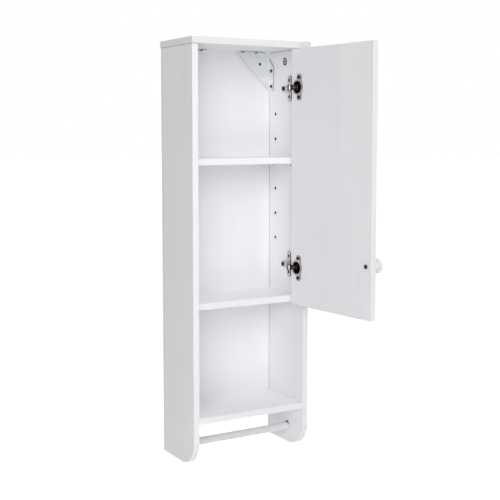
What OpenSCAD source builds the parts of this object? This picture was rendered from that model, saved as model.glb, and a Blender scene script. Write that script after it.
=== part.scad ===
// Wall cabinet for toilet rolls: a narrow white carcass with an inset door on the upper half,
// an open compartment below it and a roll rail between the side panels.
// The door stands open, as it hangs when the cabinet is being filled.
// The origin is on the wall, midway between the two wall screws. The front faces -Y.

/* [Carcass] */
// Width over the side panels
carcass_w = 253; // [225:1:300]
// Depth of the side panels, from the wall to the front edge
carcass_d = 131; // [120:1:170]
// Height with the top panel
carcass_h = 800; // [780:1:860]
// Thickness of the carcass boards
board_t = 12; // [12:0.5:15]
// Thickness of the back panel
back_t = 5; // [3:0.5:6]
// How deep the back panel is let into each side panel
rebate_w = 5; // [4:0.5:7]
// How far the top panel stands proud of the side panels in front
top_front_lip = 3; // [0:0.5:10]
// How far the top panel stands proud at each side
top_side_lip = 1.5; // [0:0.5:6]
// Radius of the side panels' lower front corners
corner_r = 50; // [20:1:60]

/* [Shelves] */
// Underside of the bottom shelf above the side panels' feet
bottom_shelf_z = 81.5; // [70:0.5:120]
// Underside of the middle shelf above the side panels' feet
middle_shelf_z = 296; // [250:1:320]
// Thickness of the shelves
shelf_t = 12; // [12:0.5:15]
// How far the shelves behind the door stand back from the front edge
shelf_setback = 14.5; // [14.5:0.5:25]
// Height of the lowest shelf pin hole
pin_first_z = 414; // [405:1:420]
// Distance from one shelf pin hole to the next
pin_pitch = 50; // [45:1:52]
// Holes in each column
pin_holes = 6; // [4:1:6]
// Which hole from below carries the adjustable shelf
shelf_hole = 4; // [2:1:4]
// Diameter of the shelf pins
pin_d = 5; // [4:0.5:6]
// Front column of holes, behind the front edge
pin_front = 37; // [32:1:45]
// Rear column of holes, in front of the wall
pin_back = 28; // [20:1:35]

/* [Roll rail] */
// Diameter of the rail
rail_d = 15; // [12:0.5:18]
// Height of the rail's axis above the side panels' feet
rail_z = 32.7; // [28:0.1:40]
// Distance of the rail's axis behind the front edge
rail_front = 55; // [45:1:65]
// Diameter of the blind sockets that the rail lies in
socket_d = 18; // [18:0.5:20]
// Depth of the sockets
socket_depth = 8; // [5:0.5:9]

/* [Door] */
// Thickness of the door
door_t = 12; // [12:0.5:13]
// Gap between the closed door and the side panel that carries it
hinge_gap = 2.5; // [2.5:0.1:3]
// Gap between the closed door and the other side panel
free_gap = 1.5; // [1:0.1:3]
// Gap above the door
door_top_gap = 1.5; // [1:0.1:3]
// How far the door hangs below the middle shelf
door_drop = 4.5; // [1:0.5:8]
// Width of the knob's cap
knob_d = 28; // [22:1:34]
// How far the knob stands out
knob_h = 20; // [16:1:26]
// Knob's axis from the door's free edge
knob_edge = 12.5; // [10:0.5:30]
// Knob's axis above the door's lower edge
knob_up = 97; // [60:1:140]

/* [Hinges] */
// Hinge's middle from the door's top and bottom edge
hinge_inset = 73.5; // [60:0.5:90]
// How far the open door has turned
door_turn = 96; // [96:1:96]
// How far each link turns on its arm meanwhile
link_turn = 29.4; // [29.4:0.1:29.4]
// Diameter of the cup in the door
cup_d = 26; // [26:0.5:26]
// Depth of the cup
cup_depth = 9.5; // [9.5:0.1:10]
// Wood left between the cup and the door's edge
cup_edge = 4; // [4:0.1:4.2]
// Height of the cup's flange and of the mounting plate
wing_h = 51; // [48:1:56]
// Distance between the two screws of a mounting plate
plate_screw_pitch = 32; // [30:1:34]
// Distance between the two screws of a cup
cup_screw_pitch = 38; // [36:1:40]
// Middle line of the mounting plate behind the closed door's inner face
plate_back = 37; // [35:0.5:40]

/* [Wall brackets] */
// Length of the bracket's legs along the top and the side panel
bracket_leg = 78; // [60:1:90]
// How far the bracket's flanges reach forward
bracket_flange = 16.5; // [14:0.5:22]
// Thickness of the sheet steel
sheet_t = 1.5; // [1:0.1:2]
// Wall screw hole from the side panel and from the top panel
wall_hole_in = 24; // [18:0.5:28]
// Diameter of the wall screw holes
wall_hole_d = 4.5; // [4:0.1:6]

/* [Hidden] */

$fn = 64;
eps = 0.01;
cutter_over = 1;             // how far some cutters reach past what they cut
fit = 0.05;                  // radial clearance of what is pushed or turns in a hole
slack = 0.25;                // clearance of a board that is slid in
through = 40;                // longer than any wall that is drilled right through

white = [0.95, 0.95, 0.96];
steel = [0.78, 0.79, 0.82];
nickel = [0.62, 0.58, 0.56];
beech = [0.80, 0.66, 0.46];
dark = [0.16, 0.16, 0.17];

side_h = carcass_h - board_t;
inner_x = carcass_w / 2 - board_t;
top_w = carcass_w + 2 * top_side_lip;
hang_z = side_h - wall_hole_in;
shelf_w = 2 * inner_x;
shelf_back_y = -back_t;

// joints between boards
dowel_d = 6;
dowel_len = 18;
dowel_in_face = 7.5;         // how deep a dowel sits in a board's face
dowel_inset = 24;            // dowels from the board's front and rear edge
cam_d = 15;
cam_depth = 9.5;
cam_recess = 0.3;            // cam's face below the board's
cam_ring = 1.9;              // width of the step round the cam's face
cam_groove = 1.6;            // depth of that step
cam_slot = [2, 8.8, 1.6];    // cross slot: depth, length, width
cam_under = 0.1;             // air under the cam
cam_in = 21;                 // cam's centre from the joint
cam_bolt_d = 5;
cam_bolt_depth = 8;
cam_neck_d = 4;
cam_head_d = 6.4;
cam_head_len = 3;
cam_channel_d = 7.2;
cam_collar_d = 6.8;
cam_collar_len = 2;
cam_behind_middle = 3;       // top's cams and bolts, behind the middle of the depth
cam_y = -carcass_d / 2 + cam_behind_middle;
top_dowel_y = dowel_ys(-carcass_d, 0);
shelf_joints = [[middle_shelf_z, shelf_setback], [bottom_shelf_z, 0]];

// shelves
pin_len = 15;
pin_depth = 8;
pin_tip = 1;                 // tapered end of a shelf pin
pin_y = [-carcass_d + pin_front, -pin_back];
adjustable_z = pin_first_z + (shelf_hole - 1) * pin_pitch + pin_d / 2;
shelf_play = 0.6;            // each end of the adjustable shelf, and behind it

// rail, lying on the floor of its sockets
rail_y = -carcass_d + rail_front;
socket_z = rail_z + (socket_d - rail_d) / 2 - fit;
rail_end_play = 0.5;

// door, drawn shut and then swung open
door_w = 2 * inner_x - hinge_gap - free_gap;
door_z0 = middle_shelf_z - door_drop;
door_z1 = side_h - door_top_gap;
door_face_y = -carcass_d + door_t;
hinge_z = [door_z0 + hinge_inset, door_z1 - hinge_inset];
knob_x = inner_x - hinge_gap - door_w + knob_edge;
knob_z = door_z0 + knob_up;
knob_rim_r = 3;
knob_dome_r = 26;
knob_hollow_r = 5.5;
knob_foot_r = 8;
knob_screw_d = 4;
knob_screw_in = 11;
knob_screw_head_d = 7.5;
knob_screw_head_h = 2;

// hinge, in the plane seen from above: s runs inwards from the side panel and
// q runs back from the shut door's inner face
arm_pin = [26.5, -3.6];      // pin in the arm's nose
cup_pin = [12, -5.6];        // pin in the cup, with the door shut
pin_r = 1.2;
cup_wall = 0.9;
cup_floor = 1;
cup_s = hinge_gap + cup_edge + cup_d / 2;
cup_lug_z = 4.7;             // inner face of the cup's pin lugs
cup_lug_t = 1.3;
cup_lug_w = 4.4;
cup_lug_over = 1.9;          // lug's top above its pin
flange_t = 1.2;
flange_rim = 1.8;
wing_w = 13;
wing_shift = 5;              // flange's screws from the cup's middle, away from the edge
notch_z = 6.6;               // half height of the flange's notch for the arm
plate_t = 2;
plate_w = 12;
plate_tongue = 3;            // plate's middle reaches this far past the saddle
saddle_h = 9.5;
saddle_z = 4.4;
arm_z = 4.6;                 // inner face of the arm's side walls
arm_sheet = 1.2;
arm_top_s = saddle_h + fit + arm_sheet;
arm_rear_reach = 13;         // arm's straight part, behind and before the plate's middle
arm_front_reach = 9;
arm_rear = plate_back + arm_rear_reach;
arm_front = plate_back - arm_front_reach;
arm_foot_s = 3.5;
arm_crank = [3.4, -7.5];     // where the arm's top starts down towards the nose
arm_foot_lead = 4;           // the foot's front before the arm's straight part
nose_r = 2.1;
nose_flat = 1;               // straight bits beside the arm's pin
hollow_lead = [0.3, 0.4];    // where the hollow's crank starts and ends before the arm's
hollow_mouth = [3, 4];       // hollow's front, behind and before the arm's pin
nose_top = [[-2.5, 13.6], [2.1, 6.6]];
nose_under = [[-2.1, 2.0], [-4.3, 4.6], [-7.5, 6.8], [-13.5, 11.6], [-19, 18.6]];
adjusting_slot = 4;
link_z = 4.3;
link_t = 2;
link_bulge = 2.3;
link_eye_r = 1.85;
fixing_reach = 6.5;          // arm's screws, behind and before the plate's middle
adjusting_reach = 5.5;
fixing_q = plate_back + fixing_reach;
adjusting_q = plate_back - adjusting_reach;
machine_d = 3.5;
machine_len = 7;
machine_head_d = 8;
machine_head_h = 2;
small_screw_d = 3;
small_head_d = 6.6;
small_head_h = 1.6;
cross_slot = [0.9, 4, 0.8];  // depth, length, width
plate_screw_len = 9;
cup_screw_len = 9;

cup_pin_open = turned(cup_pin - arm_pin, link_turn) + arm_pin;

// wall brackets
bracket_screw_len = 8;
bracket_screw_y = -back_t - bracket_flange / 2 - sheet_t / 2;
bracket_screw_ends = [41, 10];   // each leg's two screws, from its end
bracket_screw_at = [for (e = bracket_screw_ends) bracket_leg - e];
bracket_screw_play = 0.3;
bracket_tip = 2;
flange_start = 10.5;
flange_full = 30;
flange_end_r = 4;

// nails of the back panel
nail_d = 1.6;
nail_len = 16;
nail_head_d = 4;
nail_head_h = 0.8;
nail_count = 4;              // on each side of the back panel
nail_below_bracket = 12;
nail_above_shelf = 40;
nail_z = heights(bottom_shelf_z + nail_above_shelf, side_h - bracket_leg - nail_below_bracket, nail_count);
nail_x = [-inner_x / 2, inner_x / 2];

function turned(p, a) = [p.x * cos(a) - p.y * sin(a), p.x * sin(a) + p.y * cos(a)];
function heights(first, last, count) = [for (i = [0 : count - 1]) first + (last - first) * i / (count - 1)];

// where dowels and cam bolts stand along a joint that runs from y0 to y1
function dowel_ys(y0, y1) = [y0 + dowel_inset, y1 - dowel_inset];
function shelf_dowel_y(setback) = dowel_ys(-carcass_d + setback, shelf_back_y);
function shelf_cam_y(setback) = (setback - carcass_d + shelf_back_y) / 2;

// everything is drawn with z = 0 at the side panels' feet and then hung from the wall screws
module hung() {
    translate([0, 0, -hang_z]) children();
}

// copies on the left side
module both_sides() {
    children();
    mirror([1, 0, 0]) children();
}

// a flat outline in (y, z), made solid from x = 0 towards +X
module along_x(length) {
    rotate([90, 0, 90]) linear_extrude(length) children();
}

// a flat outline in (x, z), made solid from y = 0 towards +Y
module along_y(length) {
    translate([0, length, 0]) rotate([90, 0, 0]) linear_extrude(length) children();
}

module rod_x(d, length) {
    rotate([0, 90, 0]) cylinder(d = d, h = length);
}

module rod_y(d, length) {
    rotate([-90, 0, 0]) cylinder(d = d, h = length);
}

// door pieces are drawn shut; this swings them to where the links hold them
module door_open() {
    pivot_x = inner_x - cup_pin.x;
    pivot_y = door_face_y + cup_pin.y;
    open_x = inner_x - cup_pin_open.x;
    open_y = door_face_y + cup_pin_open.y;
    translate([open_x, open_y, 0]) rotate([0, 0, door_turn]) translate([-pivot_x, -pivot_y, 0]) children();
}

// hinge coordinates: x = s, y = q, z from the hinge's middle
module hinge_at(z) {
    translate([inner_x, door_face_y, z]) mirror([1, 0, 0]) children();
}

module each_hinge() {
    for (z = hinge_z) hinge_at(z) children();
}

// ---------- boards ----------

module side_outline() {
    front = -carcass_d;
    translate([front + corner_r, 0]) square([carcass_d - corner_r, side_h]);
    translate([front, corner_r]) square([corner_r, side_h - corner_r]);
    translate([front + corner_r, corner_r]) circle(r = corner_r, $fn = 96);
}

module side_holes() {
    // rebate for the back panel, stopped at the bottom shelf
    translate([inner_x - eps, -back_t, bottom_shelf_z]) cube([rebate_w + eps, back_t + eps, side_h]);
    // rail socket
    translate([inner_x - eps, rail_y, socket_z]) rod_x(socket_d, socket_depth + eps);
    // shelf pin holes
    for (y = pin_y, i = [0 : pin_holes - 1])
        translate([inner_x - eps, y, pin_first_z + i * pin_pitch])
            rod_x(pin_d + 2 * fit, pin_depth + fit + eps);
    // cam lock under the top panel, with the channel for its bolt
    translate([inner_x - eps, cam_y, side_h - cam_in]) rod_x(cam_d + 2 * fit, cam_depth + eps);
    translate([inner_x + board_t / 2, cam_y, side_h - cam_in]) cylinder(d = cam_channel_d, h = cam_in + eps);
    for (y = top_dowel_y)
        translate([inner_x + board_t / 2, y, side_h - dowel_len + dowel_in_face - fit])
            cylinder(d = dowel_d + 2 * fit, h = dowel_len);
    // dowels and cam bolts of the fixed shelves
    for (joint = shelf_joints) {
        z = joint[0] + shelf_t / 2;
        for (y = shelf_dowel_y(joint[1]))
            translate([inner_x - eps, y, z]) rod_x(dowel_d + 2 * fit, dowel_in_face + fit + eps);
        translate([inner_x - eps, shelf_cam_y(joint[1]), z])
            rod_x(cam_bolt_d + 2 * fit, cam_bolt_depth + fit + eps);
    }
    // bracket screws
    for (a = bracket_screw_at)
        translate([inner_x - eps, bracket_screw_y, side_h - a])
            rod_x(small_screw_d + 2 * fit, bracket_screw_len + fit);
    side_nail_holes();
}

module side_nail_holes() {
    for (z = nail_z)
        translate([inner_x + rebate_w / 2, -nail_len - fit, z]) rod_y(nail_d + 2 * fit, nail_len);
}

module side_board() {
    difference() {
        translate([inner_x, 0, 0]) along_x(board_t) side_outline();
        side_holes();
    }
}

module left_side_panel() {
    color(white) hung() mirror([1, 0, 0]) side_board();
}

module right_side_panel() {
    color(white) hung() difference() {
        side_board();
        each_hinge() for (z = [-1, 1])
            translate([-plate_screw_len - fit, plate_back, z * plate_screw_pitch / 2])
                rod_x(small_screw_d + 2 * fit, plate_screw_len + fit + eps);
    }
}

module top_panel() {
    color(white) hung() difference() {
        translate([-top_w / 2, -carcass_d - top_front_lip, side_h])
            cube([top_w, carcass_d + top_front_lip, board_t]);
        both_sides() {
            for (y = top_dowel_y)
                translate([inner_x + board_t / 2, y, side_h - eps])
                    cylinder(d = dowel_d + 2 * fit, h = dowel_in_face + fit + eps);
            translate([inner_x + board_t / 2, cam_y, side_h - eps])
                cylinder(d = cam_bolt_d + 2 * fit, h = cam_bolt_depth + fit + eps);
            for (a = bracket_screw_at)
                translate([inner_x - a, bracket_screw_y, side_h - eps])
                    cylinder(d = small_screw_d + 2 * fit, h = bracket_screw_len + fit + eps);
        }
    }
}

module back_panel() {
    w = 2 * (inner_x + rebate_w - slack);
    color(white) hung() difference() {
        translate([-w / 2, -back_t, bottom_shelf_z]) cube([w, back_t, side_h - bottom_shelf_z]);
        both_sides() {
            translate([inner_x - wall_hole_in, -back_t - eps, hang_z]) rod_y(wall_hole_d, back_t + 2 * eps);
            for (z = nail_z)
                translate([inner_x + rebate_w / 2, -back_t - eps, z]) nail_hole();
        }
        for (x = nail_x, joint = shelf_joints)
            translate([x, -back_t - eps, joint[0] + shelf_t / 2]) nail_hole();
    }
}

// through the back panel, with a seat that lets the head in flush
module nail_hole() {
    rod_y(nail_d + 2 * fit, back_t + 2 * eps);
    translate([0, back_t - nail_head_h - fit + eps, 0]) rod_y(nail_head_d + 2 * fit, nail_head_h + fit + eps);
}

// a shelf that dowels and cam locks hold between the side panels
module fixed_shelf(z, setback) {
    depth = carcass_d - setback - back_t;
    mid = shelf_t / 2;
    difference() {
        translate([-shelf_w / 2, -carcass_d + setback, z]) cube([shelf_w, depth, shelf_t]);
        both_sides() {
            for (y = shelf_dowel_y(setback))
                translate([inner_x - dowel_len + dowel_in_face - fit, y, z + mid])
                    rod_x(dowel_d + 2 * fit, dowel_len);
            translate([inner_x - cam_in, shelf_cam_y(setback), z - eps])
                cylinder(d = cam_d + 2 * fit, h = cam_depth + eps);
            translate([inner_x - cam_in, shelf_cam_y(setback), z + mid]) rod_x(cam_channel_d, cam_in + eps);
        }
        for (x = nail_x)
            translate([x, -nail_len - fit, z + mid]) rod_y(nail_d + 2 * fit, nail_len);
    }
}

module middle_shelf() {
    color(white) hung() fixed_shelf(middle_shelf_z, shelf_setback);
}

module bottom_shelf() {
    color(white) hung() fixed_shelf(bottom_shelf_z, 0);
}

module adjustable_shelf() {
    w = 2 * (inner_x - shelf_play);
    depth = carcass_d - shelf_setback - back_t - shelf_play;
    color(white) hung() translate([-w / 2, -carcass_d + shelf_setback, adjustable_z])
        cube([w, depth, shelf_t]);
}

module shelf_pins() {
    color(steel) hung() both_sides() for (y = pin_y)
        translate([inner_x + pin_depth - pin_len, y, adjustable_z - pin_d / 2]) {
            translate([pin_tip, 0, 0]) rod_x(pin_d, pin_len - pin_tip);
            rotate([0, 90, 0]) cylinder(d1 = pin_d - 2 * pin_tip, d2 = pin_d, h = pin_tip);
        }
}

module roll_rail() {
    half = inner_x + socket_depth - rail_end_play;
    color(white) hung() translate([-half, rail_y, rail_z]) rod_x(rail_d, 2 * half);
}

// ---------- door ----------

module door_panel() {
    color(white) hung() door_open() difference() {
        translate([inner_x - hinge_gap - door_w, -carcass_d, door_z0])
            cube([door_w, door_t, door_z1 - door_z0]);
        each_hinge() {
            translate([cup_s, -cup_depth - fit, 0]) rod_y(cup_d + 2 * fit, cup_depth + fit + eps);
            for (z = [-1, 1])
                translate([cup_s + wing_shift, -cup_screw_len - fit, z * cup_screw_pitch / 2])
                    rod_y(small_screw_d + 2 * fit, cup_screw_len + fit + eps);
        }
        translate([knob_x, -carcass_d - eps, knob_z]) rod_y(knob_screw_d + 2 * fit, door_t + 2 * eps);
    }
}

// half of the knob's outline: a domed cap with a round rim, a hollow neck and a small foot
module knob_outline() {
    mid_r = knob_d / 2 - knob_rim_r;
    dome_z = knob_h - knob_dome_r;
    rim_z = dome_z + sqrt(pow(knob_dome_r - knob_rim_r, 2) - mid_r * mid_r);
    hollow_z = rim_z - knob_rim_r - knob_hollow_r;
    difference() {
        square([mid_r, rim_z]);
        translate([mid_r, hollow_z]) circle(r = knob_hollow_r);
        translate([knob_foot_r, -eps]) square([mid_r, hollow_z]);
    }
    translate([mid_r, rim_z]) circle(r = knob_rim_r);
    intersection() {
        translate([0, dome_z]) circle(r = knob_dome_r, $fn = 180);
        polygon([[0, rim_z], [mid_r, rim_z], [2 * mid_r, 2 * rim_z - dome_z], [0, 2 * rim_z - dome_z]]);
    }
}

module door_knob() {
    color(white) hung() door_open() translate([knob_x, -carcass_d, knob_z]) rotate([90, 0, 0])
        difference() {
            rotate_extrude($fn = 96) knob_outline();
            translate([0, 0, -eps]) cylinder(d = knob_screw_d + 2 * fit, h = knob_screw_in + fit + eps);
        }
}

module knob_screw() {
    color(dark) hung() door_open() translate([knob_x, -carcass_d - knob_screw_in, knob_z]) {
        rod_y(knob_screw_d, knob_screw_in + door_t + fit);
        translate([0, knob_screw_in + door_t, 0]) rotate([0, 0, 90]) difference() {
            rod_x(knob_screw_head_d, knob_screw_head_h);
            translate([knob_screw_head_h, 0, 0]) cross_slot_x();
        }
    }
}

// ---------- hinges ----------

// countersunk screw along +X, head's face at x = 0
module screw_x(length) {
    translate([-small_head_h, 0, 0]) rotate([0, 90, 0])
        cylinder(d1 = small_screw_d, d2 = small_head_d, h = small_head_h);
    translate([-length, 0, 0]) rod_x(small_screw_d, length - small_head_h + eps);
}

module sunk_x() {
    translate([-small_head_h - fit, 0, 0]) rotate([0, 90, 0])
        cylinder(d1 = small_screw_d + 2 * fit, d2 = small_head_d + 3 * fit, h = small_head_h + 2 * fit);
    translate([-through, 0, 0]) rod_x(small_screw_d + 2 * fit, through);
}

// cross slot cut from x = 0 towards -X: depth, length, width
module cross_slot_x(size = cross_slot) {
    for (a = [0, 90])
        rotate([a, 0, 0]) translate([-size.x, -size.y / 2, -size.z / 2]) cube([size.x + eps, size.y, size.z]);
}

// a plate's wings: a bar with round ends in (q, z)
module wing_outline(width, height) {
    straight = height - width;
    translate([-width / 2, -straight / 2]) square([width, straight]);
    for (z = [-1, 1]) translate([0, z * straight / 2]) circle(d = width);
}

module mounting_plate() {
    difference() {
        union() {
            translate([0, plate_back, 0]) along_x(plate_t) wing_outline(plate_w, wing_h);
            translate([0, arm_front, -saddle_z]) cube([saddle_h, arm_rear - arm_front, 2 * saddle_z]);
            translate([0, arm_front - plate_tongue, -saddle_z])
                cube([plate_t, arm_rear - arm_front + 2 * plate_tongue, 2 * saddle_z]);
        }
        for (z = [-1, 1])
            translate([plate_t, plate_back, z * plate_screw_pitch / 2]) sunk_x();
        for (q = [fixing_q, adjusting_q])
            translate([plate_t, q, 0]) rod_x(machine_d + 2 * fit, saddle_h);
    }
}

// the arm's outline seen from above, cranked round the door's edge
module arm_outline() {
    polygon(concat(
        [[arm_foot_s, arm_rear], [arm_top_s, arm_rear], [arm_top_s, arm_front]],
        [[arm_top_s, arm_front] + arm_crank],
        [for (step = nose_top) arm_pin + step],
        [arm_pin + [nose_r, nose_flat], arm_pin + [nose_r / 2, -nose_flat], arm_pin - [nose_r / 2, nose_flat]],
        [for (step = nose_under) arm_pin + step],
        [[arm_foot_s, arm_front - arm_foot_lead]]));
}

// what is open between the arm's walls
module arm_hollow() {
    top = arm_top_s - arm_sheet;
    past = nose_r + cutter_over;
    polygon(concat(
        [[0, arm_rear + cutter_over], [top, arm_rear + cutter_over]],
        [[top, arm_front - hollow_lead.x], [top, arm_front - hollow_lead.y] + arm_crank],
        [for (step = nose_top) arm_pin + step - [arm_sheet, hollow_lead.y]],
        [arm_pin + [past, hollow_mouth.x], arm_pin + [past, -hollow_mouth.y], [0, arm_pin.y - hollow_mouth.y]]));
}

module hinge_arm() {
    width = 2 * (arm_z + arm_sheet);
    difference() {
        union() {
            linear_extrude(width, center = true) arm_outline();
            translate(arm_pin) cylinder(r = nose_r, h = width, center = true);
        }
        linear_extrude(2 * arm_z, center = true) arm_hollow();
        translate(arm_pin) cylinder(r = pin_r + fit, h = through, center = true);
        // screw hole, and the slot of the adjusting screw
        translate([arm_top_s - arm_sheet - eps, 0, 0]) {
            for (q = [fixing_q, adjusting_q, adjusting_q - adjusting_slot])
                translate([0, q, 0]) rod_x(machine_d + 2 * fit, arm_sheet + 2 * eps);
            translate([0, adjusting_q - adjusting_slot, -machine_d / 2 - fit])
                cube([arm_sheet + 2 * eps, adjusting_slot, machine_d + 2 * fit]);
        }
    }
}

// the cup's flange in (s, z)
module flange_outline() {
    difference() {
        union() {
            circle(d = cup_d + 2 * flange_rim);
            translate([wing_shift, 0]) wing_outline(wing_w, wing_h);
        }
        circle(r = cup_d / 2 - cup_wall);
        translate([-cup_d, -notch_z]) square([cup_d, 2 * notch_z]);
        for (z = [-1, 1]) translate([wing_shift, z * cup_screw_pitch / 2]) circle(d = small_screw_d + 2 * fit);
    }
}

module hinge_cup() {
    inner_r = cup_d / 2 - cup_wall;
    lug_top = cup_pin.y + cup_lug_over;
    lug_foot = cup_floor - cup_depth - eps;
    translate([cup_s, 0, 0]) {
        translate([0, -cup_depth, 0]) difference() {
            rod_y(cup_d, cup_depth);
            translate([0, cup_floor, 0]) rod_y(2 * inner_r, cup_depth);
        }
        along_y(flange_t) flange_outline();
    }
    // two lugs hold the pin
    difference() {
        for (z = [-1, 1])
            translate([cup_pin.x, lug_foot, z * (cup_lug_z + cup_lug_t / 2)])
                translate([-cup_lug_w / 2, 0, -cup_lug_t / 2]) cube([cup_lug_w, lug_top - lug_foot, cup_lug_t]);
        translate(cup_pin) cylinder(r = pin_r + fit, h = through, center = true);
    }
}

// a curved strap with an eye at each end, seen from above with the door open
module link_outline() {
    chord = cup_pin_open - arm_pin;
    len = norm(chord);
    r = (len * len / 4 + link_bulge * link_bulge) / (2 * link_bulge);
    half = asin(len / 2 / r);
    difference() {
        union() {
            translate((arm_pin + cup_pin_open) / 2) rotate(atan2(chord.y, chord.x))
                translate([0, link_bulge - r]) difference() {
                    circle(r = r + link_t / 2, $fn = 120);
                    circle(r = r - link_t / 2, $fn = 120);
                    rotate(-half) translate([0, -2 * r]) square([2 * r, 4 * r]);
                    rotate(half) translate([-2 * r, -2 * r]) square([2 * r, 4 * r]);
                }
            for (p = [arm_pin, cup_pin_open]) translate(p) circle(r = link_eye_r);
        }
        for (p = [arm_pin, cup_pin_open]) translate(p) circle(r = pin_r + fit);
    }
}

module hinge_link() {
    linear_extrude(2 * link_z, center = true) link_outline();
}

module hinge_pin(half_length) {
    cylinder(r = pin_r, h = 2 * half_length, center = true);
}

module upper_hinge_cup() {
    color(nickel) hung() door_open() hinge_at(hinge_z[1]) hinge_cup();
}

module lower_hinge_cup() {
    color(nickel) hung() door_open() hinge_at(hinge_z[0]) hinge_cup();
}

module cup_screws() {
    color(nickel) hung() door_open() each_hinge() for (z = [-1, 1])
        translate([cup_s + wing_shift, flange_t + fit, z * cup_screw_pitch / 2]) rotate([0, 0, 90])
            slotted_pan_screw_x(cup_screw_len + flange_t);
}

// pan head screw along +X, head's seat at x = 0
module slotted_pan_screw_x(length) {
    difference() {
        rod_x(small_head_d, small_head_h);
        translate([small_head_h, 0, 0]) cross_slot_x();
    }
    translate([-length, 0, 0]) rod_x(small_screw_d, length + eps);
}

module cup_pins() {
    color(steel) hung() door_open() each_hinge() translate(cup_pin) hinge_pin(cup_lug_z + cup_lug_t);
}

module upper_mounting_plate() {
    color(nickel) hung() hinge_at(hinge_z[1]) mounting_plate();
}

module lower_mounting_plate() {
    color(nickel) hung() hinge_at(hinge_z[0]) mounting_plate();
}

module plate_screws() {
    color(nickel) hung() each_hinge() for (z = [-1, 1])
        translate([plate_t, plate_back, z * plate_screw_pitch / 2]) difference() {
            screw_x(plate_screw_len + plate_t);
            cross_slot_x();
        }
}

module upper_hinge_arm() {
    color(nickel) hung() hinge_at(hinge_z[1]) hinge_arm();
}

module lower_hinge_arm() {
    color(nickel) hung() hinge_at(hinge_z[0]) hinge_arm();
}

module machine_screw(q) {
    translate([arm_top_s + fit, q, 0]) difference() {
        union() {
            rod_x(machine_head_d, machine_head_h);
            translate([-machine_len, 0, 0]) rod_x(machine_d, machine_len + eps);
        }
        translate([machine_head_h, 0, 0]) cross_slot_x();
    }
}

module arm_fixing_screws() {
    color(dark) hung() each_hinge() machine_screw(fixing_q);
}

module arm_adjusting_screws() {
    color(steel) hung() each_hinge() machine_screw(adjusting_q);
}

module arm_pins() {
    color(steel) hung() each_hinge() translate(arm_pin) hinge_pin(arm_z + arm_sheet);
}

module upper_hinge_link() {
    color(nickel) hung() hinge_at(hinge_z[1]) hinge_link();
}

module lower_hinge_link() {
    color(nickel) hung() hinge_at(hinge_z[0]) hinge_link();
}

// ---------- wall brackets ----------

// a flange seen flat: x along the leg from the corner, y the reach forward
module bracket_flange_outline() {
    difference() {
        union() {
            polygon([[flange_start, 0], [flange_full, bracket_flange],
                [bracket_leg - flange_end_r, bracket_flange], [bracket_leg - flange_end_r, 0]]);
            translate([bracket_leg - 2 * flange_end_r, 0])
                square([2 * flange_end_r, bracket_flange - flange_end_r]);
            translate([bracket_leg - flange_end_r, bracket_flange - flange_end_r]) circle(r = flange_end_r);
        }
        for (a = bracket_screw_at)
            translate([a, -back_t - bracket_screw_y]) circle(d = small_screw_d + 2 * bracket_screw_play);
    }
}

// right-hand bracket, folded from sheet: the corner is at the top, at the side panel
module corner_bracket() {
    translate([inner_x, -back_t, side_h]) {
        difference() {
            translate([0, -sheet_t, 0]) along_y(sheet_t)
                polygon([[0, 0], [-bracket_leg, 0], [-bracket_leg, -bracket_tip],
                    [-bracket_tip, -bracket_leg], [0, -bracket_leg]]);
            translate([-wall_hole_in, -sheet_t - eps, -wall_hole_in]) rod_y(wall_hole_d, sheet_t + 2 * eps);
        }
        // flange under the top panel
        translate([0, 0, -sheet_t]) mirror([1, 0, 0]) mirror([0, 1, 0]) linear_extrude(sheet_t)
            bracket_flange_outline();
        // flange on the side panel
        rotate([0, 90, 0]) mirror([0, 1, 0]) translate([0, 0, -sheet_t]) linear_extrude(sheet_t)
            bracket_flange_outline();
    }
}

module left_corner_bracket() {
    color(steel) hung() mirror([1, 0, 0]) corner_bracket();
}

module right_corner_bracket() {
    color(steel) hung() corner_bracket();
}

module bracket_screw() {
    slotted_pan_screw_x(bracket_screw_len + sheet_t);
}

module bracket_screws() {
    color(steel) hung() both_sides() for (a = bracket_screw_at) {
        translate([inner_x - sheet_t - fit, bracket_screw_y, side_h - a]) rotate([0, 0, 180]) bracket_screw();
        translate([inner_x - a, bracket_screw_y, side_h - sheet_t - fit]) rotate([0, 90, 0]) bracket_screw();
    }
}

// ---------- what joins the boards ----------

// cam lock with its face near x = 0, its bolt coming from +Z
module cam_lock() {
    difference() {
        translate([cam_recess, 0, 0]) rod_x(cam_d, cam_depth - cam_recess - cam_under);
        translate([board_t / 2, 0, 0]) cylinder(d = cam_channel_d, h = cam_d);
        // step round the face
        translate([cam_recess - eps, 0, 0]) difference() {
            rod_x(cam_d + cutter_over, cam_groove);
            translate([-eps, 0, 0]) rod_x(cam_d - 2 * cam_ring, cam_groove + 2 * eps);
        }
        translate([cam_recess, 0, 0]) mirror([1, 0, 0]) cross_slot_x(cam_slot);
    }
}

// cam bolt along +Z, the shoulder of its thread at z = 0
module cam_bolt() {
    cylinder(d = cam_bolt_d, h = cam_bolt_depth);
    translate([0, 0, -cam_in]) cylinder(d = cam_neck_d, h = cam_in + eps);
    translate([0, 0, -cam_in]) cylinder(d = cam_head_d, h = cam_head_len);
    translate([0, 0, -cam_collar_len]) cylinder(d = cam_collar_d, h = cam_collar_len - fit);
}

// children point from a shelf's end towards the side panel
module at_shelf_ends() {
    both_sides() for (joint = shelf_joints)
        translate([inner_x, shelf_cam_y(joint[1]), joint[0] + shelf_t / 2]) children();
}

module cam_locks() {
    color(dark) hung() {
        both_sides() translate([inner_x, cam_y, side_h - cam_in]) cam_lock();
        at_shelf_ends() translate([-cam_in, 0, -shelf_t / 2]) mirror([1, 0, 0]) rotate([0, -90, 0]) cam_lock();
    }
}

module cam_bolts() {
    color(steel) hung() {
        both_sides() translate([inner_x + board_t / 2, cam_y, side_h]) cam_bolt();
        at_shelf_ends() rotate([0, 90, 0]) cam_bolt();
    }
}

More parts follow.
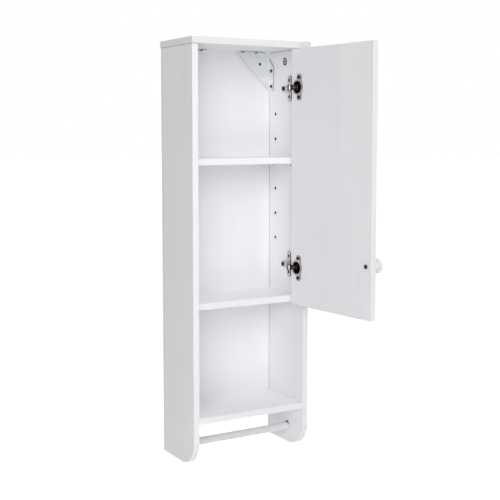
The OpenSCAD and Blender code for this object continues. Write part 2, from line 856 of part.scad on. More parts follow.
module dowel() {
    cylinder(d = dowel_d, h = dowel_len - 2 * fit);
}

module wooden_dowels() {
    color(beech) hung() both_sides() {
        for (y = top_dowel_y)
            translate([inner_x + board_t / 2, y, side_h + dowel_in_face - dowel_len + fit]) dowel();
        for (joint = shelf_joints, y = shelf_dowel_y(joint[1]))
            translate([inner_x + dowel_in_face - dowel_len + fit, y, joint[0] + shelf_t / 2])
                rotate([0, 90, 0]) dowel();
    }
}

// nail along -Y, its head let into the back panel
module nail() {
    translate([0, -nail_len, 0]) rod_y(nail_d, nail_len - fit);
    translate([0, -nail_head_h, 0]) rod_y(nail_head_d, nail_head_h);
}

module back_panel_nails() {
    color(steel) hung() {
        both_sides() for (z = nail_z) translate([inner_x + rebate_w / 2, 0, z]) nail();
        for (x = nail_x, joint = shelf_joints) translate([x, 0, joint[0] + shelf_t / 2]) nail();
    }
}

left_side_panel();
right_side_panel();
top_panel();
back_panel();
middle_shelf();
bottom_shelf();
adjustable_shelf();
shelf_pins();
roll_rail();
door_panel();
door_knob();
knob_screw();
upper_hinge_cup();
lower_hinge_cup();
cup_screws();
cup_pins();
upper_mounting_plate();
lower_mounting_plate();
plate_screws();
upper_hinge_arm();
lower_hinge_arm();
arm_fixing_screws();
arm_adjusting_screws();
arm_pins();
upper_hinge_link();
lower_hinge_link();
left_corner_bracket();
right_corner_bracket();
bracket_screws();
cam_locks();
cam_bolts();
wooden_dowels();
back_panel_nails();
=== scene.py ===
import math

import bmesh
import bpy
from mathutils import Matrix, Vector


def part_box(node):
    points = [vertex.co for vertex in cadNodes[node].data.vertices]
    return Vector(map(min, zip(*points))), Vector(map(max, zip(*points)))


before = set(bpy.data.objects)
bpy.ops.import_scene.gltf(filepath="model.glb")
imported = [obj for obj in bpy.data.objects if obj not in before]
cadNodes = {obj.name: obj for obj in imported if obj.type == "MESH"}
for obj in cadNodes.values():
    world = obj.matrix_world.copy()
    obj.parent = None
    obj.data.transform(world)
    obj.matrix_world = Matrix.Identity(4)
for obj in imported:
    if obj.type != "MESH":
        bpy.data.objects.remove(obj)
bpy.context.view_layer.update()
mm = 0.001
print("frame loaded,", len(cadNodes), "nodes")


# camera: to the left of the cabinet, tilted a little down
# the small shift keeps the uprights nearly parallel

camera = {
    "place": (-0.9447, -1.7399, -0.1368),
    "turn": 30.275,  # degrees to the right of straight on
    "tilt": -5.0,
    "lens": 71.27,
    "sensor": 36,
    "shift": -0.0622,
    "clip": (0.05, 60),
}


def makeCamera():
    data = bpy.data.cameras.new("camera")
    data.lens = camera["lens"]
    data.sensor_width = camera["sensor"]
    data.shift_y = camera["shift"]
    data.clip_start, data.clip_end = camera["clip"]
    ob = bpy.data.objects.new("camera", data)
    bpy.context.scene.collection.objects.link(ob)
    ob.location = camera["place"]
    ob.rotation_euler = (math.radians(90 + camera["tilt"]), 0, math.radians(-camera["turn"]))
    bpy.context.scene.camera = ob


makeCamera()
print("camera set")


# how the door stands at rest, for finishes that are laid out on the shut door

doorSwing = {"turn": 96.0, "shutPin": (0.1025, -0.1246, 0), "openPin": (0.099651, -0.131461, 0)}
swing = Matrix.Rotation(-math.radians(doorSwing["turn"]), 4, "Z")
fromOpenPin = Matrix.Translation(-Vector(doorSwing["openPin"]))
doorShut = Matrix.Translation(doorSwing["shutPin"]) @ swing @ fromOpenPin


# node helpers for the materials

noiseSpan = (0.3, 0.7)  # most of a noise's values lie between these


class Finish:  # a material, its nodes and its links in one place
    pass


def startFinish(name):
    f = Finish()
    f.mat = bpy.data.materials.new(name)
    f.mat.use_nodes = True
    f.nodes = f.mat.node_tree.nodes
    f.links = f.mat.node_tree.links
    f.shader = f.nodes["Principled BSDF"]
    f.coords = f.nodes.new("ShaderNodeTexCoord")
    return f


def maths(f, kind, a, b=0.0):
    node = f.nodes.new("ShaderNodeMath")
    node.operation = kind
    for socket, value in zip(node.inputs, (a, b)):
        if isinstance(value, (int, float)):
            socket.default_value = value
        else:
            f.links.new(value, socket)
    return node.outputs["Value"]


def plus(f, a, b):
    return maths(f, "ADD", a, b)


def minus(f, a, b):
    return maths(f, "SUBTRACT", a, b)


def times(f, a, b):
    return maths(f, "MULTIPLY", a, b)


def unsigned(f, value):
    return maths(f, "ABSOLUTE", value)


def below(f, value, limit):
    return maths(f, "LESS_THAN", value, limit)


def stretched(f, scale):
    node = f.nodes.new("ShaderNodeMapping")
    node.inputs["Scale"].default_value = scale
    f.links.new(f.coords.outputs["Object"], node.inputs["Vector"])
    return node.outputs["Vector"]


def grained(f, scale, along):  # finer across the board than along it
    across, lengthwise = scale
    sizes = [across] * 3
    sizes[along] = lengthwise
    return stretched(f, sizes)


def evenly(scale):
    return (scale,) * 3


def shaded(color, tone):
    return [c * tone for c in color]


def place(f, shut=False):  # x, y and z in metres, for a door piece as if the door were shut
    vector = f.coords.outputs["Object"]
    if shut:
        node = f.nodes.new("ShaderNodeMapping")
        node.inputs["Location"].default_value = doorShut.translation
        node.inputs["Rotation"].default_value = (0, 0, -math.radians(doorSwing["turn"]))
        f.links.new(vector, node.inputs["Vector"])
        vector = node.outputs["Vector"]
    split = f.nodes.new("ShaderNodeSeparateXYZ")
    f.links.new(vector, split.inputs["Vector"])
    return [split.outputs[i] for i in range(3)]


def facing(f):  # how far a surface faces along x, y and z, without sign
    split = f.nodes.new("ShaderNodeSeparateXYZ")
    f.links.new(f.coords.outputs["Normal"], split.inputs["Vector"])
    return [unsigned(f, split.outputs[i]) for i in range(3)]


def least(f, *values):
    out = values[0]
    for value in values[1:]:
        out = maths(f, "MINIMUM", out, value)
    return out


def most(f, *values):
    out = values[0]
    for value in values[1:]:
        out = maths(f, "MAXIMUM", out, value)
    return out


def beyond(f, value, limit):
    return maths(f, "GREATER_THAN", value, limit)


def near(f, value, at, reach):  # 1 within reach of a plane, 0 elsewhere
    return below(f, unsigned(f, minus(f, value, at)), reach)


def squares(f, a, b):  # the sum of both squares
    return plus(f, times(f, a, a), times(f, b, b))


def hypotenuse(f, a, b):
    return maths(f, "POWER", squares(f, a, b), 0.5)


def noise(f, vector, scale=1.0, detail=3.0, rough=0.55, distort=0.0):
    node = f.nodes.new("ShaderNodeTexNoise")
    node.inputs["Scale"].default_value = scale
    node.inputs["Detail"].default_value = detail
    node.inputs["Roughness"].default_value = rough
    node.inputs["Distortion"].default_value = distort
    f.links.new(vector, node.inputs["Vector"])
    return node.outputs["Fac"]


def ramp(f, value, low, high, first=0.0, last=1.0):
    node = f.nodes.new("ShaderNodeMapRange")
    node.inputs["From Min"].default_value = low
    node.inputs["From Max"].default_value = high
    node.inputs["To Min"].default_value = first
    node.inputs["To Max"].default_value = last
    f.links.new(value, node.inputs["Value"])
    return node.outputs["Result"]


def blendColor(f, share, a, b):
    node = f.nodes.new("ShaderNodeMix")
    node.data_type = "RGBA"
    for socket, value in zip((node.inputs[0], node.inputs[6], node.inputs[7]), (share, a, b)):
        if isinstance(value, (tuple, list)):
            socket.default_value = (*value, 1) if len(value) == 3 else value
        elif isinstance(value, (int, float)):
            socket.default_value = value
        else:
            f.links.new(value, socket)
    return node.outputs[2]


def bumped(f, height, distance, strength=1.0):
    node = f.nodes.new("ShaderNodeBump")
    node.inputs["Distance"].default_value = distance
    node.inputs["Strength"].default_value = strength
    f.links.new(height, node.inputs["Height"])
    f.links.new(node.outputs["Normal"], f.shader.inputs["Normal"])


def feed(f, socket, value):
    if isinstance(value, (tuple, list)):
        f.shader.inputs[socket].default_value = (*value, 1)
    elif isinstance(value, (int, float)):
        f.shader.inputs[socket].default_value = value
    else:
        f.links.new(value, f.shader.inputs[socket])


# the wall screws' holes, painted dark as their shade, with a thin ring of painted shade round each

wallHoles = {"aside": 0.0905, "radius": 0.0029}  # from the cabinet's middle, at height 0


def inWallHole(f, where):
    aside = minus(f, unsigned(f, where[0]), wallHoles["aside"])
    return below(f, squares(f, aside, where[2]), wallHoles["radius"] ** 2)


# white foil on board, with a printed and lightly pressed grain

whiteFoil = {
    "light": (0.952, 0.944, 0.968),
    "dark": (0.900, 0.892, 0.918),
    "grain": (620.0, 9.0),  # scale across the board and along it
    "pores": (0.50, 0.66),
    "poreShare": 0.35,
    "streaks": (26.0, 2.2),
    "streakShare": 0.45,
    "pressed": (0.00006, 0.7),  # depth in metres, strength
    "rough": 0.40,
    "roughSpread": (-0.05, 0.04),
    "roughPores": 0.10,
    "cloud": 9,
    "band": (0.950, 0.947, 0.962),  # edge band
    "bandReach": 0.0001,
    "bandThick": 0.0008,
    "hairline": (0.00008, 0.35),  # half its width, and how dark it is
    "seam": (0.26, 0.26, 0.28),  # dust and shade in the joints
}
bareBoardInShade = {  # bare board in holes and grooves, darkened nearly to black as painted shade
    "dark": (0.016, 0.013, 0.011),
    "light": 1.7,  # times the dark
    "chips": 700,
    "chipSpan": (0.35, 0.65),
    "rough": 0.85,
    "depth": 0.00035,  # the foil ends here
}
hardboard = {  # rear of the back panel
    "light": (0.50, 0.38, 0.265),
    "dark": 0.72,  # times the light
    "fibres": (1400, 1400, 500),
    "fibreShare": 0.6,
    "mottling": 60,
    "mottlingShare": 0.4,
    "rough": 0.8,
    "raised": 1.5,
    "reach": 0.0002,
}


def foilFinish(name, along, low, high, tone=1.0, bands=(), bandTone=1.0, seams=(), cornerRadius=0.0,
               shut=False, bareRear=False, wallHoled=False, pinned=False):
    f = startFinish(name)
    fine = noise(f, grained(f, whiteFoil["grain"], along), detail=4, rough=0.62)
    pores = ramp(f, fine, *whiteFoil["pores"])
    broad = noise(f, grained(f, whiteFoil["streaks"], along), detail=2, distort=0.6)
    streaks = ramp(f, broad, *noiseSpan)
    share = plus(f, times(f, streaks, whiteFoil["streakShare"]), times(f, pores, whiteFoil["poreShare"]))
    color = blendColor(f, share, shaded(whiteFoil["light"], tone), shaded(whiteFoil["dark"], tone))
    cloud = noise(f, stretched(f, evenly(whiteFoil["cloud"])), detail=3)
    roughEnds = [whiteFoil["rough"] + spread for spread in whiteFoil["roughSpread"]]
    rough = plus(f, ramp(f, cloud, *noiseSpan, *roughEnds), times(f, pores, whiteFoil["roughPores"]))

    where = place(f, shut)
    depth = []
    for axis in range(3):
        depth.append(minus(f, where[axis], low[axis]))
        depth.append(minus(f, high[axis], where[axis]))
    # edge bands: smooth, a touch whiter, with a hairline where they meet the broad faces, drawn in the
    # joints' colour of dust and painted shade
    lineHalf, lineShare = whiteFoil["hairline"]
    for axis, side in bands:
        d = depth[2 * axis + side]
        onBand = near(f, d, 0.0, whiteFoil["bandReach"])
        color = blendColor(f, onBand, color, shaded(whiteFoil["band"], bandTone))
        line = times(f, near(f, d, whiteFoil["bandThick"], lineHalf), lineShare)
        color = blendColor(f, line, color, whiteFoil["seam"])
    # joints with the neighbouring boards: dark lines of painted shade, with some dust
    for axis, at, reach, weight in seams:
        line = times(f, near(f, where[axis], at, reach), weight)
        color = blendColor(f, line, color, whiteFoil["seam"])
    # bare board wherever a hole or groove goes below the foil, nearly black: painted shade
    if cornerRadius:
        down = most(f, minus(f, cornerRadius, depth[4]), 0.0)
        front = most(f, minus(f, cornerRadius, depth[2]), 0.0)
        depth[2] = depth[4] = minus(f, cornerRadius, hypotenuse(f, down, front))
    bare = beyond(f, least(f, *depth), bareBoardInShade["depth"])
    chips = noise(f, stretched(f, evenly(bareBoardInShade["chips"])), detail=4, rough=0.7)
    bareShadeColor = blendColor(f, ramp(f, chips, *bareBoardInShade["chipSpan"]), bareBoardInShade["dark"],
                           shaded(bareBoardInShade["dark"], bareBoardInShade["light"]))
    color = blendColor(f, bare, color, bareShadeColor)
    rough = most(f, rough, times(f, bare, bareBoardInShade["rough"]))
    if pinned:  # painted shade round the holes, on the inner face only
        inner = beyond(f, most(f, depth[0], depth[1]), pinHoles["depth"])
        innerFace = times(f, inner, below(f, unsigned(f, where[0]), pinHoles["within"]))
        color = blendColor(f, times(f, innerFace, pinHoleShadeRings(f, where)), color, bareShadeColor)
    # painted shade in and round the wall screws' holes
    if wallHoled:
        color = blendColor(f, inWallHole(f, where), color, bareShadeColor)
    height = times(f, pores, -1.0)
    if bareRear:
        rear = near(f, depth[3], 0.0, hardboard["reach"])
        fibres = noise(f, stretched(f, hardboard["fibres"]), detail=4, rough=0.7, distort=0.8)
        mottled = noise(f, stretched(f, evenly(hardboard["mottling"])), detail=3)
        mix = plus(f, ramp(f, fibres, *noiseSpan, 0, hardboard["fibreShare"]),
                   ramp(f, mottled, *noiseSpan, 0, hardboard["mottlingShare"]))
        rearColor = blendColor(f, mix, hardboard["light"], shaded(hardboard["light"], hardboard["dark"]))
        color = blendColor(f, rear, color, rearColor)
        rough = most(f, rough, times(f, rear, hardboard["rough"]))
        height = plus(f, height, times(f, times(f, fibres, rear), hardboard["raised"]))
    feed(f, "Base Color", color)
    feed(f, "Roughness", rough)
    bumped(f, height, *whiteFoil["pressed"])
    return f.mat


# the shelf pin holes' mouths: a ring of painted shade round each hole, in the dark bare-board colour

pinHoles = {
    "columns": (-0.094, -0.028),
    "middle": -0.225,  # height of the columns' middle
    "pitch": 0.050,
    "lowest": -0.355,
    "mouth": 0.0032,
    "depth": 0.0115,  # past this from one broad face is on the other
    "within": 0.120,  # and nearer to the cabinet's middle than this is on the inner one
}


def pinHoleShadeRings(f, where):
    first = pinHoles["middle"] + pinHoles["pitch"] / 2
    steps = maths(f, "ROUND", maths(f, "DIVIDE", minus(f, where[2], first), pinHoles["pitch"]))
    nearest = plus(f, times(f, steps, pinHoles["pitch"]), first)
    up = minus(f, where[2], nearest)
    aside = least(f, *(unsigned(f, minus(f, where[1], y)) for y in pinHoles["columns"]))
    around = squares(f, aside, up)
    reached = near(f, where[2], pinHoles["middle"], pinHoles["middle"] - pinHoles["lowest"])
    return times(f, reached, below(f, around, pinHoles["mouth"] ** 2))


# white lacquer on turned wood: the rail and the knob

whiteLacquer = {
    "light": (0.885, 0.885, 0.893),
    "dark": (0.855, 0.856, 0.866),
    "grain": (240.0, 6.0),
    "grainSpan": (0.35, 0.65),
    "ripple": 160,
    "rough": 0.30,
    "roughSpread": (-0.04, 0.06),
    "coat": 0.25,
    "coatRough": 0.18,
    "grainHeight": 0.6,
    "rippleHeight": 0.4,
    "raised": (0.00005, 0.6),
}


def lacquerFinish(name, along, tone=1.0):
    f = startFinish(name)
    grain = noise(f, grained(f, whiteLacquer["grain"], along), detail=3)
    ripple = noise(f, stretched(f, evenly(whiteLacquer["ripple"])), detail=2)
    light, dark = (shaded(whiteLacquer[end], tone) for end in ("light", "dark"))
    feed(f, "Base Color", blendColor(f, ramp(f, grain, *whiteLacquer["grainSpan"]), light, dark))
    roughEnds = [whiteLacquer["rough"] + spread for spread in whiteLacquer["roughSpread"]]
    feed(f, "Roughness", ramp(f, ripple, *noiseSpan, *roughEnds))
    f.shader.inputs["Coat Weight"].default_value = whiteLacquer["coat"]
    f.shader.inputs["Coat Roughness"].default_value = whiteLacquer["coatRough"]
    height = plus(f, times(f, grain, whiteLacquer["grainHeight"]),
                  times(f, ripple, whiteLacquer["rippleHeight"]))
    bumped(f, height, *whiteLacquer["raised"])
    return f.mat


# metals

metalLooks = {
    "nickel": {"light": (0.74, 0.69, 0.68), "dark": (0.42, 0.37, 0.36),
               "rough": 0.25, "brush": (90, 90, 900)},
    # the screws' nickel is darkened nearly to black: painted shade of their heads and recesses
    "shadedScrewNickel": {"light": (0.12, 0.102, 0.105), "dark": (0.035, 0.029, 0.031),
                    "rough": 0.28, "brush": evenly(900)},
    "shadedHingeScrews": {"light": (0.07, 0.06, 0.062), "dark": (0.02, 0.017, 0.018),
                    "rough": 0.30, "brush": evenly(900)},
    "zinc": {"light": (0.74, 0.745, 0.75), "dark": (0.52, 0.525, 0.54),
             "rough": 0.33, "brush": evenly(700)},
    "blackened": {"light": (0.055, 0.055, 0.06), "dark": (0.025, 0.025, 0.028),
                  "rough": 0.38, "brush": evenly(500)},
}
metalWear = {
    "patches": 130,
    "fineSpan": (0.35, 0.75),
    "fineShare": 0.5,
    "patchSpan": (0.4, 0.75),
    "patchShare": 0.5,
    "roughSpan": (0.7, 1.3),
    "roughSpread": (-0.07, 0.12),
    "raised": (0.00003, 0.5),
    "sideways": (0.70, 0.95),  # from leaning to facing squarely sideways
    "noseFade": (-0.005, 0.003),
    "noseShare": 0.9,
    "insideRough": 0.5,
    "cutRough": 0.6,
}
shade = (0.045, 0.036, 0.034)  # painted shade between pressed parts
deepShade = (0.014, 0.012, 0.012)  # painted shade on what is cut into a face and seen from above


def metalFinish(name, look, darkInside=None, turnedAway=0.0, darkNose=None, grooves=(), rounds=()):
    f = startFinish(name)
    fine = noise(f, stretched(f, look["brush"]), detail=4, rough=0.6)
    patchy = noise(f, stretched(f, evenly(metalWear["patches"])), detail=3, distort=0.4)
    share = plus(f, ramp(f, fine, *metalWear["fineSpan"], 0, metalWear["fineShare"]),
                 ramp(f, patchy, *metalWear["patchSpan"], 0, metalWear["patchShare"]))
    color = blendColor(f, share, look["light"], look["dark"])
    f.shader.inputs["Metallic"].default_value = 1.0
    roughEnds = [look["rough"] + spread for spread in metalWear["roughSpread"]]
    rough = ramp(f, plus(f, fine, patchy), *metalWear["roughSpan"], *roughEnds)
    if turnedAway:  # painted shade on walls of pressed sheet, which don't face sideways out of the cabinet
        color = blendColor(f, ramp(f, facing(f)[0], *metalWear["sideways"], turnedAway, 0.0), color, shade)
    if darkNose is not None:  # painted shade on the arm's front end, where it carries the links
        fadeEnds = [darkNose + fade for fade in metalWear["noseFade"]]
        color = blendColor(f, ramp(f, place(f)[1], *fadeEnds, metalWear["noseShare"], 0.0), color, shade)
    if darkInside is not None:  # painted shade inside the cups, below the door's face
        inside = below(f, place(f, True)[1], darkInside)
        color = blendColor(f, inside, color, metalLooks["blackened"]["dark"])
        rough = most(f, rough, times(f, inside, metalWear["insideRough"]))
    for axis, low, high in grooves:  # painted deep shade on cut surfaces below the face, without sign along x
        value = place(f)[axis]
        if axis == 0:
            value = unsigned(f, value)
        within = times(f, beyond(f, value, low), below(f, value, high))
        color = blendColor(f, within, color, deepShade)
        rough = most(f, rough, times(f, within, metalWear["cutRough"]))
    for (y, z), low, high in rounds:  # painted deep shade in rings about an axis along x, by their inner and outer radius
        where = place(f)
        away = hypotenuse(f, minus(f, where[1], y), minus(f, where[2], z))
        within = times(f, beyond(f, away, low), below(f, away, high))
        color = blendColor(f, within, color, deepShade)
    feed(f, "Base Color", color)
    feed(f, "Roughness", rough)
    bumped(f, fine, *metalWear["raised"])
    return f.mat


# hinge links: blackened, with a painted highlight band along the middle and a painted highlight round the
# arm's pin

hingeLink = {
    "black": (0.008, 0.007, 0.007),
    "highlightBand": (0.045, 0.042, 0.041),
    "bright": (0.80, 0.75, 0.74),
    "brush": (300, 300, 900),
    "highlightHalf": 0.0026,  # half the height of the painted highlight band
    "highlightFull": 0.4,  # share of it that is fully highlighted
    "ragged": 0.0005,
    "brightFrom": -0.1243,  # the eye round the arm's pin, painted bright as a highlight, lies behind this
    "rough": 0.28,
    "roughSpread": (-0.06, 0.12),
    "raised": (0.00003, 0.5),
}


def linkFinish(name, middle):
    f = startFinish(name)
    fine = noise(f, stretched(f, hingeLink["brush"]), detail=4, rough=0.6)
    where = place(f)
    off = unsigned(f, minus(f, where[2], middle))
    ragged = plus(f, off, ramp(f, fine, *noiseSpan, -hingeLink["ragged"], hingeLink["ragged"]))
    band = ramp(f, ragged, hingeLink["highlightHalf"] * hingeLink["highlightFull"], hingeLink["highlightHalf"], 1.0, 0.0)
    color = blendColor(f, band, hingeLink["black"], hingeLink["highlightBand"])
    color = blendColor(f, beyond(f, where[1], hingeLink["brightFrom"]), color, hingeLink["bright"])
    f.shader.inputs["Metallic"].default_value = 1.0
    feed(f, "Base Color", color)
    roughEnds = [hingeLink["rough"] + spread for spread in hingeLink["roughSpread"]]
    feed(f, "Roughness", ramp(f, fine, *noiseSpan, *roughEnds))
    bumped(f, fine, *hingeLink["raised"])
    return f.mat


# galvanised sheet: large pale crystals; darker cut edges, partly their own bare steel and partly painted
# shade, and flanges darkened by painted shade

galvanised = {
    "light": (0.90, 0.925, 0.94),
    "dark": (0.80, 0.835, 0.855),
    "flangeEdgeShade": (0.10, 0.10, 0.11),
    "edgeAndShadeGrey": (0.40, 0.41, 0.43),
    "rough": 0.45,
    "roughSpread": (-0.06, 0.10),
    "metallic": 0.5,
    "crystal": 150.0,
    "crystalShare": 0.7,
    "spangle": 900,
    "spangleShare": 0.3,
    "raised": (0.00002, 0.4),
    "flangeFront": -0.0214,  # the flanges' front edges lie in front of this
    "turned": 0.22,  # how much painted shade darkens the flanges' faces below the plate
    "square": 0.93,  # a face that faces an axis by this much is a flat one
    "leaning": 0.3,
}


def galvanisedFinish(name):
    f = startFinish(name)
    cells = f.nodes.new("ShaderNodeTexVoronoi")
    cells.inputs["Scale"].default_value = galvanised["crystal"]
    cells.inputs["Randomness"].default_value = 1.0
    f.links.new(stretched(f, evenly(1)), cells.inputs["Vector"])
    split = f.nodes.new("ShaderNodeSeparateColor")
    f.links.new(cells.outputs["Color"], split.inputs["Color"])
    crystal = split.outputs["Red"]
    fine = noise(f, stretched(f, evenly(galvanised["spangle"])), detail=3)
    share = plus(f, times(f, crystal, galvanised["crystalShare"]), times(f, fine, galvanised["spangleShare"]))
    color = blendColor(f, share, galvanised["light"], galvanised["dark"])
    faces = facing(f)
    where = place(f)
    # painted shade: the flanges' faces and the front and slanted cut edges are darkened
    sideways = times(f, beyond(f, faces[0], galvanised["square"]), galvanised["turned"])
    color = blendColor(f, sideways, color, galvanised["edgeAndShadeGrey"])
    slanted = below(f, most(f, *faces), galvanised["square"])
    leaning = beyond(f, faces[1], galvanised["leaning"])
    forward = below(f, where[1], galvanised["flangeFront"])
    color = blendColor(f, most(f, slanted, forward), color, galvanised["edgeAndShadeGrey"])
    color = blendColor(f, times(f, slanted, leaning), color, galvanised["flangeEdgeShade"])
    # painted shade in and round the wall screw's hole, not metallic there
    hole = inWallHole(f, where)
    color = blendColor(f, hole, color, deepShade)
    feed(f, "Base Color", color)
    feed(f, "Metallic", times(f, minus(f, 1.0, hole), galvanised["metallic"]))
    roughEnds = [galvanised["rough"] + spread for spread in galvanised["roughSpread"]]
    feed(f, "Roughness", ramp(f, crystal, 0, 1, *roughEnds))
    bumped(f, fine, *galvanised["raised"])
    return f.mat


# bare beech for the dowels, fine rings along their length

bareBeech = {
    "light": (0.70, 0.52, 0.33),
    "dark": (0.45, 0.29, 0.16),
    "grain": (40, 600, 600),
    "grainShare": 0.6,
    "flecks": (300, 1500, 1500),
    "fleckSpan": (0.60, 0.70),
    "fleckShare": 0.4,
    "rough": (0.55, 0.7),
    "raised": (0.0001, 0.5),
}


def beechFinish(name):
    f = startFinish(name)
    grain = noise(f, stretched(f, bareBeech["grain"]), detail=4, distort=0.3)
    flecks = ramp(f, noise(f, stretched(f, bareBeech["flecks"]), detail=2), *bareBeech["fleckSpan"])
    share = plus(f, ramp(f, grain, *noiseSpan, 0, bareBeech["grainShare"]),
                 times(f, flecks, bareBeech["fleckShare"]))
    feed(f, "Base Color", blendColor(f, share, bareBeech["light"], bareBeech["dark"]))
    feed(f, "Roughness", ramp(f, grain, *noiseSpan, *bareBeech["rough"]))
    bumped(f, grain, *bareBeech["raised"])
    return f.mat


# each board's own foil: grain along its length, bands on the edges that show, painted shade and dust along
# the joints where boards meet
# a band is an axis and an end of it, a seam is an axis, a place, a reach and a weight

insideX = 0.1145  # the side panels' inner faces, from the cabinet's middle
undersideOfTop = 0.024
backFront = -0.005  # the back panel's front face


def seamsInside(reach, weight):
    return [(0, -insideX, reach, weight), (0, insideX, reach, weight)]


sidePanel = {
    "along": 2,
    "bands": [(1, 0)],
    "seams": [(2, undersideOfTop, 0.0010, 0.9), (1, backFront, 0.0004, 0.6)],
    "cornerRadius": 0.050,
    "pinned": True,
}
# the door's tone and the top panel's and middle shelf's band tones make darker copies of the white foil:
# painted shade
boards = {
    "left_side_panel": sidePanel,
    "right_side_panel": sidePanel,
    "top_panel": {"along": 0, "bands": [(1, 0), (0, 0), (0, 1)], "bandTone": 0.93},
    "back_panel": {"along": 2, "seams": seamsInside(0.0007, 0.8), "bareRear": True, "wallHoled": True},
    "middle_shelf": {"along": 0, "bands": [(1, 0)], "bandTone": 0.97, "seams": seamsInside(0.0003, 0.6)},
    "bottom_shelf": {"along": 0, "bands": [(1, 0)], "seams": seamsInside(0.0003, 0.6)},
    "adjustable_shelf": {"along": 0, "bands": [(1, 0), (1, 1), (0, 0), (0, 1)]},
    "door_panel": {"along": 2, "tone": 0.965, "bands": [(0, 0), (0, 1), (2, 0), (2, 1)], "shut": True},
}
shutDoorBox = (Vector((-0.113, -0.131, -0.4725)), Vector((0.112, -0.119, 0.0225)))

# the rail and the knob are darker copies of the white lacquer: painted shade
railWhite = lacquerFinish("whiteLacquerRail", 0, tone=0.90)
knobWhite = lacquerFinish("whiteLacquerKnob", 1, tone=0.96)
plateNickel = metalFinish("nickelPlate", metalLooks["nickel"], turnedAway=0.95)
armNickel = metalFinish("nickelArm", metalLooks["nickel"], turnedAway=0.25, darkNose=-0.1165)
cupNickel = metalFinish("nickelCup", metalLooks["nickel"], darkInside=-0.1193, turnedAway=0.95)
linkBoxes = {side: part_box(side + "_hinge_link") for side in ("upper", "lower")}
upperLink, lowerLink = (linkFinish("hingeLink_" + side, (low[2] + high[2]) / 2)
                        for side, (low, high) in linkBoxes.items())
shadedScrewNickel = metalFinish("shadedNickelScrews", metalLooks["shadedScrewNickel"])
adjusterNickel = metalFinish("nickelAdjusters", metalLooks["nickel"])
shadedHingeScrews = metalFinish("shadedHingeScrews", metalLooks["shadedHingeScrews"])
zinc = metalFinish("zincPlate", metalLooks["zinc"])
# painted deep shade on what is cut into the cams' faces: beyond them in the side panels, above them in the
# fixed shelves
camGrooves = [(0, 0.1152, 0.2), (2, -0.4674, -0.4560), (2, -0.6819, -0.6700)]
sideCam = (-0.0625, 0.003)  # y and z of the side panels' cams
# painted deep shade: a ring round each side cam's face and a dot at its middle
camRounds = [(sideCam, 0.0049, 0.0085), (sideCam, -1.0, 0.0019)]
camZinc = metalFinish("zincCams", metalLooks["zinc"], grooves=camGrooves, rounds=camRounds)
black = metalFinish("blackenedSteel", metalLooks["blackened"])
galvanisedSheet = galvanisedFinish("galvanisedSheet")
beech = beechFinish("bareBeech")

finishOf = {
    "roll_rail": railWhite, "door_knob": knobWhite,
    "shelf_pins": zinc, "cup_pins": zinc, "arm_pins": zinc, "arm_adjusting_screws": adjusterNickel,
    "bracket_screws": shadedScrewNickel, "cam_bolts": zinc, "back_panel_nails": zinc, "cam_locks": camZinc,
    "left_corner_bracket": galvanisedSheet, "right_corner_bracket": galvanisedSheet,
    "upper_hinge_cup": cupNickel, "lower_hinge_cup": cupNickel, "cup_screws": shadedHingeScrews,
    "upper_mounting_plate": plateNickel, "lower_mounting_plate": plateNickel, "plate_screws": shadedHingeScrews,
    "upper_hinge_arm": armNickel, "lower_hinge_arm": armNickel,
    "upper_hinge_link": upperLink, "lower_hinge_link": lowerLink,
    "knob_screw": black, "arm_fixing_screws": black,
    "wooden_dowels": beech,
}
for name, look in boards.items():
    low, high = shutDoorBox if look.get("shut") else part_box(name)
    finishOf[name] = foilFinish("whiteFoil_" + name, low=low, high=high, **look)
print("finishes made")

for name, mat in finishOf.items():
    mesh = cadNodes[name].data
    mesh.materials.clear()
    mesh.materials.append(mat)

# softened edges: the boards get their foil's small round, in millimetres

edgeRound = {
    "left_side_panel": 0.6, "right_side_panel": 0.6, "top_panel": 0.7, "door_panel": 0.7,
    "middle_shelf": 0.5, "bottom_shelf": 0.5, "adjustable_shelf": 0.5,
}
edgeSoftening = {"weld": 0.00001, "flat": 0.4, "sharp": 40, "segments": 2}  # angles in degrees
for name, radius in edgeRound.items():
    ob = cadNodes[name]
    merge = ob.modifiers.new("merge", "WELD")
    merge.merge_threshold = edgeSoftening["weld"]
    flat = ob.modifiers.new("flat", "DECIMATE")
    flat.decimate_type = "DISSOLVE"
    flat.angle_limit = math.radians(edgeSoftening["flat"])
    soft = ob.modifiers.new("soft", "BEVEL")
    soft.width = radius * mm
    soft.segments = edgeSoftening["segments"]
    soft.limit_method = "ANGLE"
    soft.angle_limit = math.radians(edgeSoftening["sharp"])
    soft.harden_normals = True
print("cad nodes dressed")


# floor, world and lamps

stageSettings = {
    "floorZ": -1.55,
    "floorSize": 60.0,
    "floorWhite": 0.90,
    "floorCloud": 3,
    "cloudDarker": 0.02,
    "floorRough": 0.9,
    "floorGlow": 0.92,
    "airWhite": 0.12,
}
white = (1, 1, 1, 1)
seenBy = ("Is Camera Ray", "Is Glossy Ray", "Is Transmission Ray")


def seenDirectly(f):
    paths = f.nodes.new("ShaderNodeLightPath")
    return most(f, *(paths.outputs[ray] for ray in seenBy))


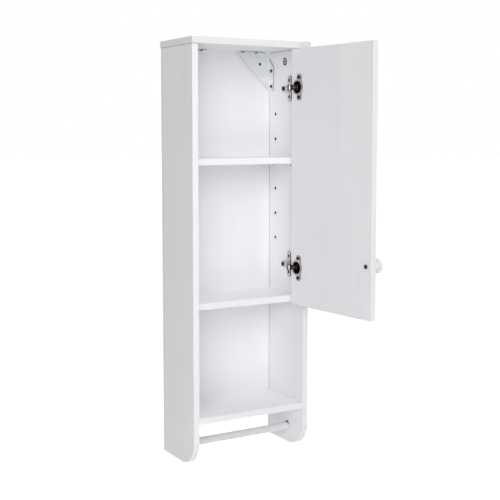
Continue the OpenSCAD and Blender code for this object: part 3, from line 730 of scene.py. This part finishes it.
def makeFloor():
    bm = bmesh.new()
    bmesh.ops.create_grid(bm, x_segments=2, y_segments=2, size=stageSettings["floorSize"])
    bmesh.ops.translate(bm, vec=(0, 0, stageSettings["floorZ"]), verts=bm.verts)
    mesh = bpy.data.meshes.new("floor")
    bm.to_mesh(mesh)
    bm.free()
    ob = bpy.data.objects.new("floor", mesh)
    bpy.context.scene.collection.objects.link(ob)
    f = startFinish("paleFloor")
    cloud = noise(f, stretched(f, evenly(stageSettings["floorCloud"])), detail=3)
    light = stageSettings["floorWhite"]
    feed(f, "Base Color", blendColor(f, cloud, evenly(light), evenly(light - stageSettings["cloudDarker"])))
    feed(f, "Roughness", stageSettings["floorRough"])
    # seen directly, the floor is as white as the air behind it, and keeps its shadow
    glow = times(f, seenDirectly(f), stageSettings["floorGlow"])
    f.links.new(glow, f.shader.inputs["Emission Strength"])
    f.shader.inputs["Emission Color"].default_value = white
    mesh.materials.append(f.mat)


def makeWorld():
    world = bpy.data.worlds.new("studio")
    bpy.context.scene.world = world
    world.use_nodes = True
    f = Finish()
    f.nodes, f.links = world.node_tree.nodes, world.node_tree.links
    f.nodes.clear()
    out = f.nodes.new("ShaderNodeOutputWorld")
    air, backdrop = (f.nodes.new("ShaderNodeBackground") for _ in range(2))
    air.inputs["Color"].default_value = backdrop.inputs["Color"].default_value = white
    air.inputs["Strength"].default_value = stageSettings["airWhite"]
    mix = f.nodes.new("ShaderNodeMixShader")
    f.links.new(seenDirectly(f), mix.inputs["Fac"])
    f.links.new(air.outputs[0], mix.inputs[1])
    f.links.new(backdrop.outputs[0], mix.inputs[2])
    f.links.new(mix.outputs[0], out.inputs["Surface"])


lamps = [
    # name, place, size, watts; all aimed at the middle of the cabinet
    ("frontHigh", (-0.7, -2.4, 0.9), 1.4, 7.5),
    ("frontLeft", (-1.5, -2.2, 0.6), 1.4, 27.5),
    ("lowLeft", (-1.0, -2.1, -1.25), 1.0, 11.5),
    ("leftSoft", (-2.9, 0.5, 0.0), 2.0, 6.5),
    ("topSoft", (0.3, -1.6, 2.2), 2.0, 21.5),
    ("rearSoft", (0.3, 2.6, 1.4), 0.4, 32.0),
    ("rightSoft", (2.8, -0.2, 0.3), 2.0, 18.0),
]
lampsAim = (0.0, -0.05, -0.36)


def makeLamps():
    for name, spot, size, watts in lamps:
        data = bpy.data.lights.new(name, "AREA")
        data.size = size
        data.energy = watts
        ob = bpy.data.objects.new(name, data)
        bpy.context.scene.collection.objects.link(ob)
        ob.location = spot
        ob.rotation_mode = "QUATERNION"
        ob.rotation_quaternion = (Vector(spot) - Vector(lampsAim)).to_track_quat("Z", "Y")


makeFloor()
makeWorld()
makeLamps()
bpy.context.scene.view_settings.view_transform = "Standard"
print("floor and light made")

bpy.context.view_layer.update()
